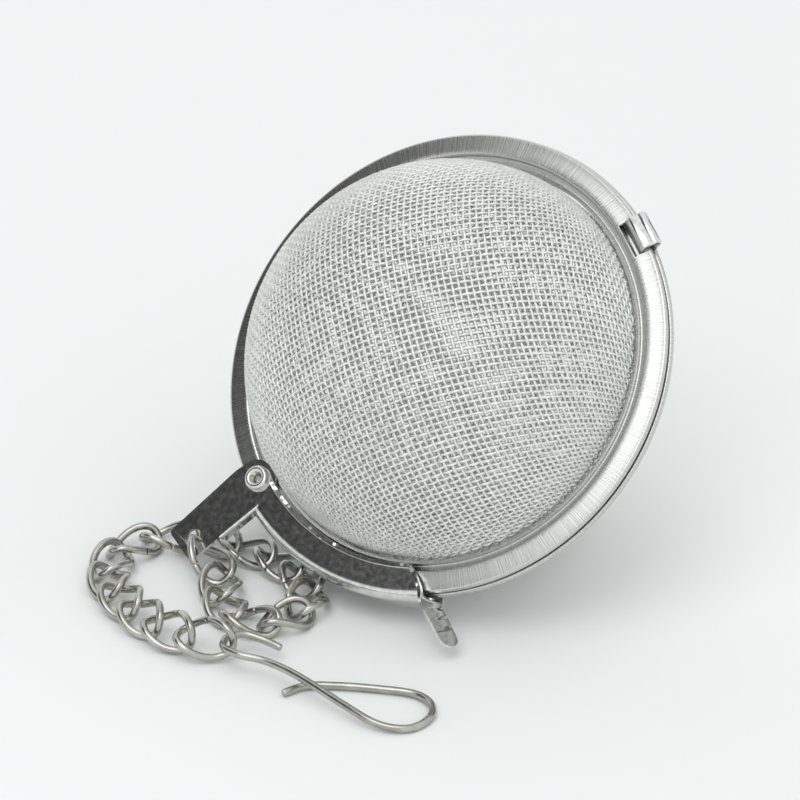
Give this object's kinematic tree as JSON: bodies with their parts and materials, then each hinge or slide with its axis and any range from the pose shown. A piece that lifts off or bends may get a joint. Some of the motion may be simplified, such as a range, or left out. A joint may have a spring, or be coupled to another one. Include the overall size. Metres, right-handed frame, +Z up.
{
  "type": "tea infuser",
  "caption": "Ball tea infuser with two hinged wire mesh shells, a pivoting clip, a twisted link chain and a bent wire hook.",
  "frame": {"origin": "middle of the bounding box's floor, on the table the infuser lies on", "axes": "+Z up from the table, +X towards the shell hinge's side, +Y from the hook towards the ball"},
  "size_m": [0.0648, 0.0632, 0.0456],
  "materials": {
    "rim_steel": "brushed from the centre outwards",
    "mesh_steel": "fine woven wire, half bright",
    "clip_steel": "polished sheet",
    "wire_steel": "bright drawn wire"
  },
  "bodies": {
    "back_shell": {"back_rim": "rim_steel", "back_mesh": "mesh_steel"},
    "front_shell": {"front_rim": "rim_steel", "front_mesh": "mesh_steel", "rivet": "clip_steel"},
    "clip": {"clip_lever": "clip_steel"},
    "chain_link_01": {"chain_link_01": "wire_steel"},
    "chain_link_02": {"chain_link_02": "wire_steel"},
    "chain_link_03": {"chain_link_03": "wire_steel"},
    "chain_link_04": {"chain_link_04": "wire_steel"},
    "chain_link_05": {"chain_link_05": "wire_steel"},
    "chain_link_06": {"chain_link_06": "wire_steel"},
    "chain_link_07": {"chain_link_07": "wire_steel"},
    "chain_link_08": {"chain_link_08": "wire_steel"},
    "chain_link_09": {"chain_link_09": "wire_steel"},
    "chain_link_10": {"chain_link_10": "wire_steel"},
    "chain_link_11": {"chain_link_11": "wire_steel"},
    "chain_link_12": {"chain_link_12": "wire_steel"},
    "chain_link_13": {"chain_link_13": "wire_steel"},
    "chain_link_14": {"chain_link_14": "wire_steel"},
    "chain_link_15": {"chain_link_15": "wire_steel"},
    "chain_link_16": {"chain_link_16": "wire_steel"},
    "chain_link_17": {"chain_link_17": "wire_steel"},
    "chain_link_18": {"chain_link_18": "wire_steel"},
    "hook": {"hook": "wire_steel"}
  },
  "joints": [
    {"name": "shell_hinge", "type": "hinge", "parent": "back_shell", "child": "front_shell", "pos_m": [0.02897, 0.01012, 0.03822], "axis": [-0.3857, 0.7963, 0.466], "range_deg": [0, 80]},
    {"name": "clip_turn", "type": "hinge", "parent": "front_shell", "child": "clip", "pos_m": [-0.01312, 0.00645, 0.00964], "axis": [0.426, 0.6017, -0.6756], "range_deg": [0, 80]},
    {"name": "chain_link_01_swing", "type": "hinge", "parent": "clip", "child": "chain_link_01", "pos_m": [-0.0204, 0.00421, 0.00339], "axis": [0, 0, 1], "range_deg": [-10, 7]},
    {"name": "chain_link_02_swing", "type": "hinge", "parent": "chain_link_01", "child": "chain_link_02", "pos_m": [-0.0175, 0.00005, 0.00151], "axis": [0, 0, -1], "range_deg": [-7, 4]},
    {"name": "chain_link_03_swing", "type": "hinge", "parent": "chain_link_02", "child": "chain_link_03", "pos_m": [-0.01758, -0.00457, 0.00129], "axis": [0, 0, 1], "range_deg": [-10, 2]},
    {"name": "chain_link_04_swing", "type": "hinge", "parent": "chain_link_03", "child": "chain_link_04", "pos_m": [-0.01631, -0.00891, 0.0013], "axis": [0, 0, -1], "range_deg": [-1, 10]},
    {"name": "chain_link_05_swing", "type": "hinge", "parent": "chain_link_04", "child": "chain_link_05", "pos_m": [-0.01218, -0.01043, 0.0013], "axis": [0, 0, 1], "range_deg": [-10, 0]},
    {"name": "chain_link_06_swing", "type": "hinge", "parent": "chain_link_05", "child": "chain_link_06", "pos_m": [-0.00848, -0.0079, 0.0013], "axis": [0, 0, -1], "range_deg": [0, 10]},
    {"name": "chain_link_07_swing", "type": "hinge", "parent": "chain_link_06", "child": "chain_link_07", "pos_m": [-0.00757, -0.00344, 0.0013], "axis": [0, 0, 1], "range_deg": [-10, 1]},
    {"name": "chain_link_08_swing", "type": "hinge", "parent": "chain_link_07", "child": "chain_link_08", "pos_m": [-0.00938, 0.00077, 0.0013], "axis": [0, 0, -1], "range_deg": [-2, 10]},
    {"name": "chain_link_09_swing", "type": "hinge", "parent": "chain_link_08", "child": "chain_link_09", "pos_m": [-0.01253, 0.00414, 0.0013], "axis": [0, 0, 1], "range_deg": [-10, 7]},
    {"name": "chain_link_10_swing", "type": "hinge", "parent": "chain_link_09", "child": "chain_link_10", "pos_m": [-0.01645, 0.00658, 0.0013], "axis": [0, 0, -1], "range_deg": [-7, 10]},
    {"name": "chain_link_11_swing", "type": "hinge", "parent": "chain_link_10", "child": "chain_link_11", "pos_m": [-0.02079, 0.00819, 0.0013], "axis": [0, 0, 1], "range_deg": [-10, 7]},
    {"name": "chain_link_12_swing", "type": "hinge", "parent": "chain_link_11", "child": "chain_link_12", "pos_m": [-0.02537, 0.00816, 0.0013], "axis": [0, 0, -1], "range_deg": [-6, 10]},
    {"name": "chain_link_13_swing", "type": "hinge", "parent": "chain_link_12", "child": "chain_link_13", "pos_m": [-0.02898, 0.00542, 0.0013], "axis": [0, 0, 1], "range_deg": [-10, 5]},
    {"name": "chain_link_14_swing", "type": "hinge", "parent": "chain_link_13", "child": "chain_link_14", "pos_m": [-0.0303, 0.00105, 0.0013], "axis": [0, 0, -1], "range_deg": [-5, 10]},
    {"name": "chain_link_15_swing", "type": "hinge", "parent": "chain_link_14", "child": "chain_link_15", "pos_m": [-0.02939, -0.00346, 0.00153], "axis": [0, 0, 1], "range_deg": [-10, 6]},
    {"name": "chain_link_16_swing", "type": "hinge", "parent": "chain_link_15", "child": "chain_link_16", "pos_m": [-0.0273, -0.00757, 0.00176], "axis": [0, 0, -1], "range_deg": [-7, 10]},
    {"name": "chain_link_17_swing", "type": "hinge", "parent": "chain_link_16", "child": "chain_link_17", "pos_m": [-0.02474, -0.01141, 0.002], "axis": [0, 0, 1], "range_deg": [-10, 7]},
    {"name": "chain_link_18_swing", "type": "hinge", "parent": "chain_link_17", "child": "chain_link_18", "pos_m": [-0.02129, -0.01447, 0.00224], "axis": [0, 0, -1], "range_deg": [-7, 10]},
    {"name": "hook_swing", "type": "hinge", "parent": "chain_link_18", "child": "hook", "pos_m": [-0.01696, -0.016, 0.0025], "axis": [0, 0, 1], "range_deg": [-10, 7]}
  ],
  "couplings": [
    {"joint": "clip_turn", "follows": "shell_hinge", "ratio": 1}
  ]
}
